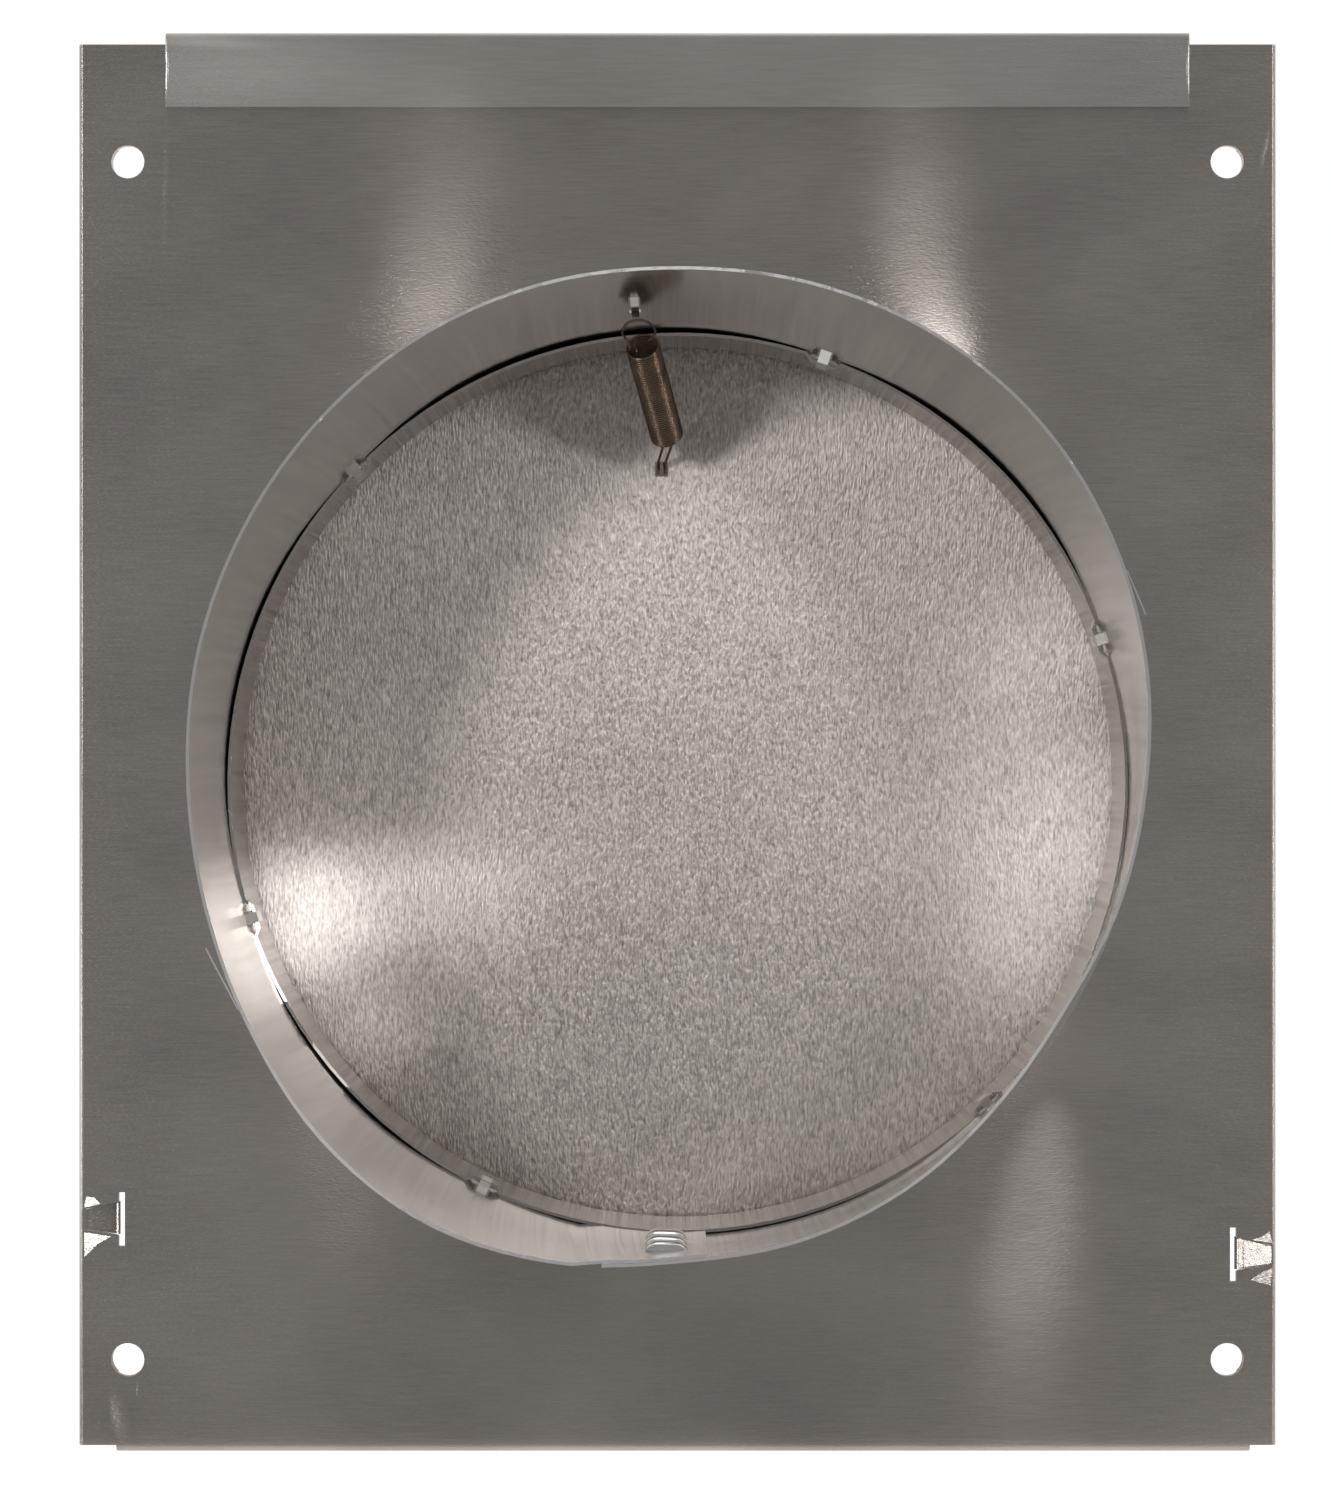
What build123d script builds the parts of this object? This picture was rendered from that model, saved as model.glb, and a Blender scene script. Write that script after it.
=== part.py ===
from build123d import *
import os
from math import acos, asin, atan2, cos, degrees, pi, radians, sin, sqrt

# Wall vent cap for a 6 inch round duct, folded from thin aluminium sheet: a back plate with a
# rolled duct collar, a sloping hood with an open bottom, a sprung round damper flap and a
# bird screen. Millimetres. Origin on the collar's axis at the plate's wall face; +Y points
# outdoors, +Z up, and +X to the right for someone who looks at the wall face.

# Sheet and folds
sheet = 0.5                 # plate, hood and collar stock
lap = 0.03                  # air between two folded layers

# Duct collar, a rolled strip whose ends lap at the bottom
collar_od = 150.5
collar_length = 44.5
collar_stand_off = 0.05     # between the collar's root and the plate
seam_inner_end = -86.5      # degrees from +X towards +Z, seen from the wall side
seam_outer_end = -99.1
joggle_start = -99.6
joggle_end = -102.6
clinch_angle = -91.5
clinch_first = 20.5         # depth of the first clinch into the duct
clinch_pitch = 6.8
clinch_count = 3
clinch_length = 5.6
clinch_width = 2.0
clinch_height = 1.0

# Drawn lip round the plate's opening, inside the collar
lip_gap = 0.7               # from the lip's outside to the collar's inside
lip_height = 14.5
lip_bend = 1.2
lip_root = 3.2              # flat ring kept round the lip
lance_angles = (18.8, 71.0, 136.0, 197.6, 244.3, 314.0)
lance_length = 6.2          # of the lip's rim, bulged inwards between two cuts
lance_flat = 3.8
lance_rise = 1.0
lance_strip = 2.9           # how much of the rim's height is bulged
lance_slot = 1.2            # open slot under the bulged strip
lance_foot = 0.5
lance_bend = 0.3
tongue_width = 1.8          # the collar's tongues, pushed in behind the bulges
tongue_slope = 2.1
tongue_bend = 0.6
cut_slack = 0.3             # between a pushed strip's side and its window

# Spring anchor, a small bridge pressed out of the collar's wall
anchor_x = -6.8
anchor_depth = 27.0         # of the spring's hook, from the wall face into the duct
anchor_width = 1.2
anchor_start = 24.0
anchor_end = 32.0
anchor_slope = 1.3
anchor_rise = 1.2

# Damper flap and its hinge
flap_sheet = 0.4
flap_overlap = 4.95         # beyond the lip's inside
flap_gap = 0.3              # between the shut flap and the plate
flap_side_gap = 2.5         # between the flap and a cheek
roof_clearance = 3.4        # left between the open flap and the roof
rod_radius = 1.0
rod_clearance = 0.06
rod_leg = 4.5
rod_bend = 2.0
rod_play = 1.5              # between an ear and the rod's bent leg
hinge_rise = 1.5            # the hinge axis above the flap's top
knuckle_inner = 13.6        # the rolled knuckles' ends along X
knuckle_outer = 23.6
knuckle_turn = 290.0        # degrees of roll
ear_gap = 0.4               # between a knuckle's end and its ear
ear_height = 8.0
ear_reach = 5.2
ear_clearance = 0.05
ear_bend = 0.75
hook_x = -2.7
hook_drop = 26.9            # the hook's slot below the hinge axis
hook_slot_width = 2.2
hook_slot_height = 2.4

# Return spring
wire = 0.5
coil_radius = 2.35          # to the wire's middle
coil_turns = 20
coil_from_anchor = (1.0, 6.5, -3.1)
coil_from_slot = (0.9, -6.3, 5.1)
hook_bend = 0.57
hook_lead = 2.6             # straight run between a hook and the coil
hook_tail = 3.0             # the hook's end in front of the flap
hook_offset = 1.2           # from the flap's front to the wire's middle there

# Back plate
side_flange = 14.85         # the plate beside the hood
top_margin = 51.55          # from the lip's inside up to the plate's top edge
bottom_margin = 38.95
side_return = 6.5           # width of the side hems on the outdoor face
hole_radius = 2.8
hole_inset = 8.35           # from the plate's sides
hole_from_top = 19.9
hole_from_bottom = 14.5
sill_inset_left = 6.4       # the bottom flange's ends, from the plate's sides
sill_inset_right = 4.5
sill_drop = 1.2             # the sill's underside below the plate's corners
sill_reach = 11.0
sill_bend = 0.9

# Lance locks that pin the side hems, measured from the plate's side and bottom edges
lock_height_left = 38.3
lock_height_right = 32.3
lock_slit_far = 7.85
lock_slit_near = 6.75
lock_slit_height = 9.2
lock_root_inset = 1.0
lock_tab_height = 5.6
lock_tab_neck = 3.2
lock_rise = 1.8
lock_slack = 0.1

# Hood
hood_depth = 127.0
hem_depth = 12.7            # the top hem on the wall face
hem_rise = 2.0              # the hem's fold above the plate's top edge
roof_drop = 14.1            # from the plate's top edge to the roof's upper bend
drip_height = 20.5          # from the plate's bottom edge to the drip edge's bend
roof_bend = 2.0
drip_bend = 2.5
floor_bend = 1.2
front_return = 10.0
rim = 5.25                  # the seam rim outside each cheek
seam_start = 3.5            # where the seams begin, along the roof from its bend
cheek_bend = 0.7
cheek_inset = 0.3           # the cheeks' wall flanges inside the plate's ends

# Bird screen and the tabs that hold it
mesh_pitch = 12.7
mesh_wire = 1.2
mesh_side_play = 4.0        # least space between the net and the cheeks
mesh_end_play = 4.5
mesh_seat = 0.02
floor_overlap = 3.8         # the cheeks' floor flanges under the net
tab_width = 6.0
tab_spacing = 51.0
tab_reach = 2.8
tab_gap = 0.4
tab_bend = 0.4

# Derived sizes and places
mid = sheet / 2
layer = sheet + lap
collar_mid = collar_od / 2 - mid
collar_inside = collar_od / 2 - sheet
lip_mid = collar_inside - lip_gap - mid
opening_radius = lip_mid - mid
lip_foot = lip_mid + lip_bend + lip_root
flap_radius = opening_radius + flap_overlap
flap_back = sheet + flap_gap
flap_front = flap_back + flap_sheet
hinge_y = flap_front + rod_radius + rod_clearance
hinge_z = flap_radius + hinge_rise
hook_slot_z = hinge_z - hook_drop
ear_inner = knuckle_outer + ear_gap
cheek_inside = flap_radius + flap_side_gap
cheek_outside = cheek_inside + sheet
hood_half = cheek_outside + rim
plate_half = hood_half + side_flange
plate_top = opening_radius + top_margin
plate_bottom = -(opening_radius + bottom_margin)
hole_x = plate_half - hole_inset
hole_places = [
    (side * hole_x, z)
    for side in (-1, 1)
    for z in (plate_top - hole_from_top, plate_bottom + hole_from_bottom)
]
sill_mid = plate_bottom - sill_drop + mid
hem_front_y = mid + 2 * layer
hood_front_mid = hood_depth - mid
roof_line = [
    (hem_front_y, plate_top - roof_drop),
    (hood_front_mid, plate_bottom + drip_height),
    (hood_front_mid, sill_mid),
]
roof_way = (Vector(*roof_line[1]) - Vector(*roof_line[0])).normalized()
rim_line = [
    tuple(Vector(*roof_line[0]) + roof_way * seam_start)[:2],
    roof_line[1],
    (hood_front_mid, sill_mid + floor_bend + lap),
]
cheek_floor_mid = sill_mid + layer
mesh_columns = int((2 * (cheek_inside - mesh_side_play) - mesh_wire) / mesh_pitch)
mesh_rows = int((hood_depth - 2 * sheet - 2 * mesh_end_play - mesh_wire) / mesh_pitch)
mesh_half_width = (mesh_columns * mesh_pitch + mesh_wire) / 2
mesh_bottom = cheek_floor_mid + mid + mesh_seat
locks = [(-1, plate_bottom + lock_height_left), (1, plate_bottom + lock_height_right)]


def shifted(points, distance):
    """Corners of the same open line moved `distance` to its left."""
    steps = [Vector(*b) - Vector(*a) for a, b in zip(points, points[1:])]
    normals = [Vector(-s.Y, s.X).normalized() for s in steps]
    moved = []
    for i, point in enumerate(points):
        before = normals[max(i - 1, 0)]
        after = normals[min(i, len(normals) - 1)]
        moved.append(Vector(*point) + (before + after) * (distance / (1 + before.dot(after))))
    return moved


def bent_line(points, radii, distance=0.0):
    """The line moved to its left, with each corner's bend kept on the same centre."""
    steps = [Vector(*b) - Vector(*a) for a, b in zip(points, points[1:])]
    turns = [1 if a.cross(b).Z > 0 else -1 for a, b in zip(steps, steps[1:])]
    bends = [r - distance * turn for r, turn in zip(radii, turns)]
    corners = shifted(points, distance)
    if not bends:
        return Line(*corners)
    return FilletPolyline(*corners, radius=bends)


def folded(points, radii=(), thickness=sheet, shift=0.0):
    """Section of a folded strip whose middle follows the line, `shift` to its left."""
    left = bent_line(points, radii, shift + thickness / 2)
    right = bent_line(points, radii, shift - thickness / 2)
    ends = [Line(left @ 0, right @ 0), Line(left @ 1, right @ 1)]
    return make_face([*left.edges(), *right.edges(), *ends])


def across(section, x_low, x_high):
    """A section drawn as (y, z), drawn out along X."""
    return extrude(Plane.YZ.offset(x_low) * section, amount=x_high - x_low)


def along_duct(section, depth_low, depth_high):
    """A section drawn as (x, z), drawn out from one depth in the duct to another."""
    return extrude(Plane.XZ.offset(depth_low) * section, amount=depth_high - depth_low)


def span_box(x, y, z):
    """A box from three (low, high) pairs."""
    size = (x[1] - x[0], y[1] - y[0], z[1] - z[0])
    centre = (sum(x) / 2, sum(y) / 2, sum(z) / 2)
    return Pos(*centre) * Box(*size)


def bore_along_y(x, z, radius):
    return Pos(x, 0, z) * Rot(90, 0, 0) * Cylinder(radius, 20)


def turned(shape, angle):
    """Turn a shape made at +X to `angle` round the duct's axis."""
    return Rot(0, -angle, 0) * shape


def ring_sector(inner, outer, start, sweep_angle):
    a = CenterArc((0, 0), outer, start, sweep_angle)
    b = CenterArc((0, 0), inner, start, sweep_angle)
    return make_face([a, b, Line(a @ 0, b @ 0), Line(a @ 1, b @ 1)])


def at_angle(radius, angle):
    return (radius * cos(radians(angle)), radius * sin(radians(angle)))


def lock_outline(side, z, slack=0.0):
    """The lock's tab from the wall side, as wide as its slit at the inner end."""
    wide = lock_tab_height / 2 + slack
    neck = lock_tab_neck / 2 + slack
    inner = plate_half - lock_slit_near
    root = plate_half - lock_root_inset
    corners = [(inner, z - wide), (inner, z + wide), (root, z + neck), (root, z - neck)]
    return make_face(Polyline(*[(side * x, v) for x, v in corners], close=True))


def lock_windows():
    """Slits and tab openings through every layer of the two side hems."""
    cuts = []
    for side, z in locks:
        slit_x = sorted(side * (plate_half - inset) for inset in (lock_slit_far, lock_slit_near))
        slit_z = (z - lock_slit_height / 2, z + lock_slit_height / 2)
        cuts.append(span_box(slit_x, (-1, 4), slit_z))
        cuts.append(along_duct(lock_outline(side, z, lock_slack), -4, 1))
    return cuts


def mounting_holes():
    return [bore_along_y(x, z, hole_radius) for x, z in hole_places]


def plate_blank():
    """Flat plate with both sides folded back over the cheeks' flanges, and the sill."""
    edge = plate_half - mid
    inner = plate_half - side_return
    fold = [(-inner, hem_front_y), (-edge, hem_front_y), (-edge, mid)]
    fold += [(-x, y) for x, y in reversed(fold)]
    section = folded(fold, [layer - 0.01] * 4)
    body = extrude(Plane.XY.offset(plate_bottom) * section, amount=plate_top - plate_bottom)
    sill = folded([(mid, plate_bottom + 6), (mid, sill_mid), (sill_reach, sill_mid)], [sill_bend])
    return body + across(sill, sill_inset_left - plate_half, plate_half - sill_inset_right)


def drawn_lip():
    """Round lip drawn into the duct; its rim is bulged inwards where it locks the collar."""
    section = folded([(lip_foot, mid), (lip_mid, mid), (lip_mid, -lip_height)], [lip_bend])
    lip = revolve(section, Axis.Y)
    half = lance_length / 2
    feet = [(z, sqrt(lip_mid**2 - z**2)) for z in (half + lance_foot, half)]
    side = [*feet, (lance_flat / 2, lip_mid - lance_rise)]
    path = [*side, *[(-z, level) for z, level in reversed(side)]]
    bulge = along_duct(folded(path, [lance_bend] * 4), lip_height - lance_strip, lip_height)
    slot_depth = lip_height - lance_strip - lance_slot
    window = span_box((-half, half), (-lip_height - 1, -slot_depth), (lip_mid - 1, lip_mid + 1))
    for angle in lance_angles:
        lip = lip - turned(window, angle - 90) + turned(bulge, angle - 90)
    return lip


def hinge_ear(side):
    """Ear bent out of the plate for the hinge rod."""
    bend_x = ear_inner + mid
    path = [(bend_x + 2, mid), (bend_x, mid), (bend_x, ear_reach)]
    section = folded([(side * x, y) for x, y in path], [ear_bend])
    ear = extrude(Plane.XY.offset(hinge_z - ear_height / 2) * section, amount=ear_height)
    bore = Cylinder(rod_radius + ear_clearance, 4 * bend_x)
    return ear - Pos(0, hinge_y, hinge_z) * Rot(0, 90, 0) * bore


def lock_tab(side, z):
    """Tab that leans forward through the hem's layers."""
    root = plate_half - lock_root_inset
    slope = [(root + 0.5, mid), (root - 0.5, mid), (plate_half - lock_slit_near, mid + lock_rise)]
    tab = folded([(side * x, y) for x, y in slope], [0.8])
    tab = extrude(Plane.XY.offset(z - lock_tab_height) * tab, amount=2 * lock_tab_height)
    overlap_x = sorted((side * (root - 0.05), side * (root + 0.5)))
    overlap = span_box(overlap_x, (-1, 4), (z - lock_tab_neck / 2, z + lock_tab_neck / 2))
    return tab & (along_duct(lock_outline(side, z), -4, 1) + overlap)


def back_plate():
    plate = plate_blank()
    plate -= bore_along_y(0, 0, lip_foot)
    plate += drawn_lip()
    ear_z = (hinge_z - ear_height / 2, hinge_z + ear_height / 2)
    far = ear_inner + mid + ear_bend
    for side in (-1, 1):
        slot_x = sorted((side * (far - ear_reach - ear_bend), side * far))
        plate -= span_box(slot_x, (-1, 1), ear_z)
        plate += hinge_ear(side)
    for cut in lock_windows() + mounting_holes():
        plate -= cut
    for side, z in locks:
        plate += lock_tab(side, z)
    return plate


def foot_level(reach, thickness=sheet):
    """Middle of a flat strip whose corners, `reach` to each side, stay inside the collar's outside."""
    return sqrt((collar_od / 2 - 0.01) ** 2 - reach**2) - thickness / 2


def strip_bridge(half_length, flat, height, width, thickness=sheet):
    """Strip pushed towards the axis between two cuts, drawn at the top of the collar."""
    end = half_length + 1
    level = foot_level(end, thickness)
    path = [
        (-end, level),
        (-half_length, level),
        (-flat, level - height),
        (flat, level - height),
        (half_length, level),
        (end, level),
    ]
    bend = min(0.6, thickness * 0.6)
    return extrude(Plane.XZ * folded(path, [bend] * 4, thickness), amount=width / 2, both=True)


def duct_collar():
    """Rolled strip with lapped ends; every lance stays inside its outside diameter."""
    outside = collar_od / 2
    lap_outside = collar_inside - lap
    lap_inside = lap_outside - sheet
    turn = joggle_end + 360 - seam_outer_end
    over = ring_sector(collar_inside, outside, seam_outer_end, turn)
    under = ring_sector(lap_inside, lap_outside, joggle_start, seam_inner_end - joggle_start)
    joggle = [
        at_angle(lap_inside, joggle_start),
        at_angle(lap_outside, joggle_start),
        at_angle(outside, joggle_end),
        at_angle(collar_inside, joggle_end),
    ]
    under += make_face(Polyline(*joggle, close=True))
    collar = along_duct(over, collar_stand_off, collar_length)
    collar += along_duct(under, lip_bend + 0.1, collar_length)
    return add_anchor(lock_to_lip(fasten_seam(collar)))


def fasten_seam(collar):
    """Clinches through both layers of the lapped ends."""
    double = 2 * sheet + lap
    centre = collar_od / 2 - double / 2
    half = clinch_length / 2
    bar = strip_bridge(half, half - 1.2, clinch_height, clinch_width, double)
    opening = (-clinch_width / 2 - cut_slack, clinch_width / 2 + cut_slack)
    window = span_box((-half, half), opening, (centre - 1, centre + 1))
    for number in range(clinch_count):
        depth = clinch_first + number * clinch_pitch
        place = turned(Pos(0, -depth, 0), clinch_angle - 90)
        collar = collar - place * window + place * bar
    return collar


def tongue_along(start, end, slope, low, width, bend):
    """Window and tongue along the duct between two depths, drawn at +X with its middle at `low`."""
    half = width / 2
    foot = foot_level(half)
    path = [
        (foot, -start + 1.2),
        (foot, -start),
        (low, -start - slope),
        (low, -end + slope),
        (foot, -end),
        (foot, -end - 1.2),
    ]
    tongue = extrude(Plane.XY.offset(-half) * folded(path, [bend] * 4), amount=width)
    opening = (-half - cut_slack, half + cut_slack)
    return span_box((collar_mid - 1, collar_mid + 1), (-end, -start), opening), tongue


def lock_to_lip(collar):
    """Tongues pushed in behind the bulges of the lip's rim."""
    start = lip_height - lance_strip - lance_slot
    low = lip_mid - lance_rise + layer
    end = lip_height + 0.5 + tongue_slope
    window, tongue = tongue_along(start, end, tongue_slope, low, tongue_width, tongue_bend)
    for angle in lance_angles:
        collar = collar - turned(window, angle) + turned(tongue, angle)
    return collar


def add_anchor(collar):
    low = collar_mid - anchor_rise
    window, tongue = tongue_along(anchor_start, anchor_end, anchor_slope, low, anchor_width, mid)
    angle = degrees(acos(anchor_x / collar_mid))
    return collar - turned(window, angle) + turned(tongue, angle)


def damper_flap():
    """Round flap with two knuckles rolled round the hinge rod."""
    flap_mid = flap_back + flap_sheet / 2
    disc = Pos(0, flap_mid, 0) * Rot(90, 0, 0) * Cylinder(flap_radius, flap_sheet)
    leaf = folded([(flap_mid, hinge_z - 15), (flap_mid, hinge_z)], thickness=flap_sheet)
    bore = rod_radius + rod_clearance
    roll = ring_sector(bore, bore + flap_sheet, 180 - knuckle_turn, knuckle_turn)
    curl = leaf + Pos(hinge_y, hinge_z) * roll
    flap = disc + across(curl, knuckle_inner, knuckle_outer)
    flap += across(curl, -knuckle_outer, -knuckle_inner)
    slot_x = (hook_x - hook_slot_width / 2, hook_x + hook_slot_width / 2)
    slot_z = (hook_slot_z - hook_slot_height / 2, hook_slot_z + hook_slot_height / 2)
    return flap - span_box(slot_x, (-1, 4), slot_z)


def hinge_rod():
    """Wire rod with both ends bent down outside the ears."""
    half = ear_inner + sheet + rod_play + rod_radius
    corners = [(-half, -rod_leg), (-half, 0), (half, 0), (half, -rod_leg)]
    points = [Vector(x, hinge_y, hinge_z + z) for x, z in corners]
    path = FilletPolyline(*points, radius=rod_bend)
    return sweep(Plane(origin=path @ 0, z_dir=path % 0) * Circle(rod_radius), path=path)


def biarc(start, start_way, end, end_way):
    """Two arcs that join two points and leave and reach them along the given directions."""
    gap = end - start
    both = start_way + end_way
    spread = 2 * (1 - start_way.dot(end_way))
    reach = (-gap.dot(both) + sqrt(gap.dot(both) ** 2 + spread * gap.dot(gap))) / spread
    first = start + start_way * reach
    second = end - end_way * reach
    middle = (first + second) * 0.5
    return [
        TangentArc(start, middle, tangent=start_way),
        TangentArc(middle, end, tangent=(second - first).normalized()),
    ]


def anchor_point():
    """Middle of the gap behind the anchor tongue."""
    wall_z = sqrt(collar_inside**2 - anchor_x**2)
    return Vector(anchor_x, -anchor_depth, wall_z - (anchor_rise - sheet) / 2)


def coil_ends():
    top = anchor_point() + Vector(*coil_from_anchor)
    foot = Vector(hook_x, flap_back, hook_slot_z) + Vector(*coil_from_slot)
    return top, foot


def coil_edges(top, foot):
    """The coil as two arcs for every half turn, with its end points and directions."""
    run = foot - top
    axis = run.normalized()
    side = (Vector(-1, 0, 0) + axis * axis.X).normalized()
    up = axis.cross(side)
    pitch = run.length / coil_turns

    def point(turn):
        angle = 2 * pi * turn
        return top + axis * (pitch * turn) + (side * cos(angle) + up * sin(angle)) * coil_radius

    def way(turn):
        angle = 2 * pi * turn
        round_way = (up * cos(angle) - side * sin(angle)) * (2 * pi * coil_radius)
        return (round_way + axis * pitch).normalized()

    edges = []
    for half_turn in range(2 * coil_turns):
        a = half_turn / 2
        b = a + 0.5
        edges += biarc(point(a), way(a), point(b), way(b))
    return edges, (point(0), way(0)), (point(coil_turns), way(coil_turns))


def spring_path():
    """Hook round the anchor tongue, coil, and hook through the flap's slot."""
    top, foot = coil_ends()
    axis = (foot - top).normalized()
    coil, start, end = coil_edges(top, foot)
    behind = anchor_point()
    turn_x = -(anchor_width / 2 + 1.1)
    upper = [
        behind + Vector(1.4, 0, 0),
        behind + Vector(turn_x, 0, 0),
        behind + Vector(turn_x, 0, -(anchor_rise + 0.05)),
        top - axis * hook_lead,
    ]
    front_y = flap_front + hook_offset
    lower = [
        foot + axis * hook_lead,
        Vector(hook_x, front_y, hook_slot_z - 0.9),
        Vector(hook_x, front_y, hook_slot_z + hook_tail),
    ]
    into = (upper[3] - upper[2]).normalized()
    out_of = (lower[1] - lower[0]).normalized()
    edges = [*FilletPolyline(*upper, radius=hook_bend).edges(), *biarc(upper[3], into, *start)]
    edges += [*coil, *biarc(*end, lower[0], out_of)]
    edges += FilletPolyline(*lower, radius=hook_bend).edges()
    return Wire(edges)


def least_gap(path, step=0.25):
    """Smallest clear distance between two stretches of wire that aren't neighbours."""
    count = int(path.length / step)
    points = [path @ (i / count) for i in range(count + 1)]
    skip = int(3 * wire / step) + 1
    nearest = min((p - q).length for i, p in enumerate(points) for q in points[i + skip :])
    return nearest - wire


def return_spring():
    path = spring_path()
    tube = sweep(Plane(origin=path @ 0, z_dir=path % 0) * Circle(wire / 2), path=path)
    print("spring wire length", round(path.length, 1), "least gap to itself", round(least_gap(path), 2))
    return tube


def hood_front():
    """Roof, drip edge and floor flange in one strip, hemmed over the plate at its top."""
    wall_y = -(lap + mid)
    top = plate_top + hem_rise - mid
    path = [(wall_y, plate_top + hem_rise - hem_depth), (wall_y, top), (hem_front_y, top)]
    path += [*roof_line, (hood_front_mid - front_return, sill_mid)]
    fold = (hem_front_y - wall_y) / 2 - 0.01
    hood = across(folded(path, [fold, fold, roof_bend, drip_bend, floor_bend]), -hood_half, hood_half)
    edge = folded(rim_line, [drip_bend], 3 * sheet + 2 * lap, -layer)
    turned_under = folded(rim_line, [drip_bend], sheet, -2 * layer)
    for side in (-1, 1):
        hood += across(edge, *sorted((side * (hood_half - sheet), side * hood_half)))
        hood += across(turned_under, *sorted((side * (cheek_outside + lap), side * hood_half)))
    return hood


def cheek_wall():
    """A cheek's wall, which fills the hood's side up to the inside of the roof."""
    front = bent_line(rim_line, [drip_bend], -(mid + lap))
    low = front @ 1
    high = front @ 0
    back_y = sheet + lap + cheek_bend
    corners = [
        low,
        (low.X - floor_bend, cheek_floor_mid),
        (back_y, cheek_floor_mid),
        (back_y, high.Y + 1),
        high,
    ]
    face = make_face([*front.edges(), *Polyline(*corners).edges()])
    return across(face, cheek_inside, cheek_outside)


def cheek_flanges():
    """Flanges of the right-hand cheek: to the plate, under the roof's rim, and the floor."""
    wall_mid = cheek_outside - mid
    flange_y = mid + layer
    flange_end = plate_half - mid - layer - 0.05
    high = rim_line[0][1]
    low = plate_bottom + cheek_inset
    inset_y = sheet + lap + cheek_bend + sheet
    back = folded([(flange_end, flange_y), (wall_mid, flange_y), (wall_mid, inset_y)], [cheek_bend])
    flanges = extrude(Plane.XY.offset(low) * back, amount=high - low)
    upper_z = (high - 1, plate_top - cheek_inset)
    flanges += span_box((wall_mid + 1, flange_end), (flange_y - mid, flange_y + mid), upper_z)
    seam = folded(rim_line, [drip_bend], sheet, -layer)
    flanges += across(seam, cheek_inside, hood_half - layer)
    inner = mesh_half_width - floor_overlap
    floor = [(wall_mid, cheek_floor_mid + 4), (wall_mid, cheek_floor_mid), (inner, cheek_floor_mid)]
    floor = folded(floor, [cheek_bend])
    return flanges + along_duct(floor, -(hood_depth - sheet - 1), -(flange_y + 1))


def hood_cheek(side):
    """Side wall of the hood with its flanges and the tabs that hold the screen."""
    cheek = cheek_wall() + cheek_flanges()
    middle = (sheet + hood_depth) / 2
    for place in (middle - tab_spacing / 2, middle + tab_spacing / 2):
        cheek = add_screen_tab(cheek, place)
    cheek = cheek if side > 0 else mirror(cheek, Plane.YZ)
    for cut in lock_windows() + mounting_holes():
        cheek -= cut
    return cheek


def add_screen_tab(cheek, place):
    """Tab cut from the floor flange and folded over the screen's outer wire."""
    root = mesh_half_width + tab_gap + mid
    top = mesh_bottom + mesh_wire + lap + mid
    low = place - tab_width / 2
    high = place + tab_width / 2
    window_x = (root - mid - tab_reach - 0.2, root + mid - 0.01)
    cheek -= span_box(window_x, (low, high), (cheek_floor_mid - 1, cheek_floor_mid + 1))
    path = [(root + 1.5, cheek_floor_mid), (root, cheek_floor_mid), (root, top)]
    tab = folded([*path, (root - tab_reach, top)], [tab_bend] * 2)
    return cheek + along_duct(tab, cut_slack - high, -low - cut_slack)


def bird_screen():
    """Square wire net that lies on the floor flanges."""
    opening = mesh_pitch - mesh_wire
    net = Rectangle(2 * mesh_half_width, mesh_rows * mesh_pitch + mesh_wire)
    openings = GridLocations(mesh_pitch, mesh_pitch, mesh_columns, mesh_rows)
    net -= openings * Rectangle(opening, opening)
    return Pos(0, (sheet + hood_depth) / 2, mesh_bottom) * extrude(net, amount=mesh_wire)


def open_angle():
    """Degrees at which the flap's far edge comes as near to the roof as it may."""
    start = Vector(*roof_line[0])
    to_roof = abs(roof_way.cross(Vector(hinge_y, hinge_z) - start).Z) - mid
    slope = degrees(atan2(roof_way.X, -roof_way.Y))
    return slope + degrees(asin((to_roof - roof_clearance) / (hinge_z + flap_radius)))


parts = {
    "back_plate": back_plate(),
    "hood_front": hood_front(),
    "hood_cheek_left": hood_cheek(-1),
    "hood_cheek_right": hood_cheek(1),
    "duct_collar": duct_collar(),
    "damper_flap": damper_flap(),
    "hinge_rod": hinge_rod(),
    "return_spring": return_spring(),
    "bird_screen": bird_screen(),
}
os.makedirs("parts", exist_ok=True)
for name, shape in parts.items():
    solids = shape.solids()
    export_step(solids[0] if len(solids) == 1 else Compound(children=solids), f"parts/{name}.step")
    print(name, len(solids), "solid", round(shape.volume, 1), "mm3")
print("the flap opens to", round(open_angle(), 1), "degrees")
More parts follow.
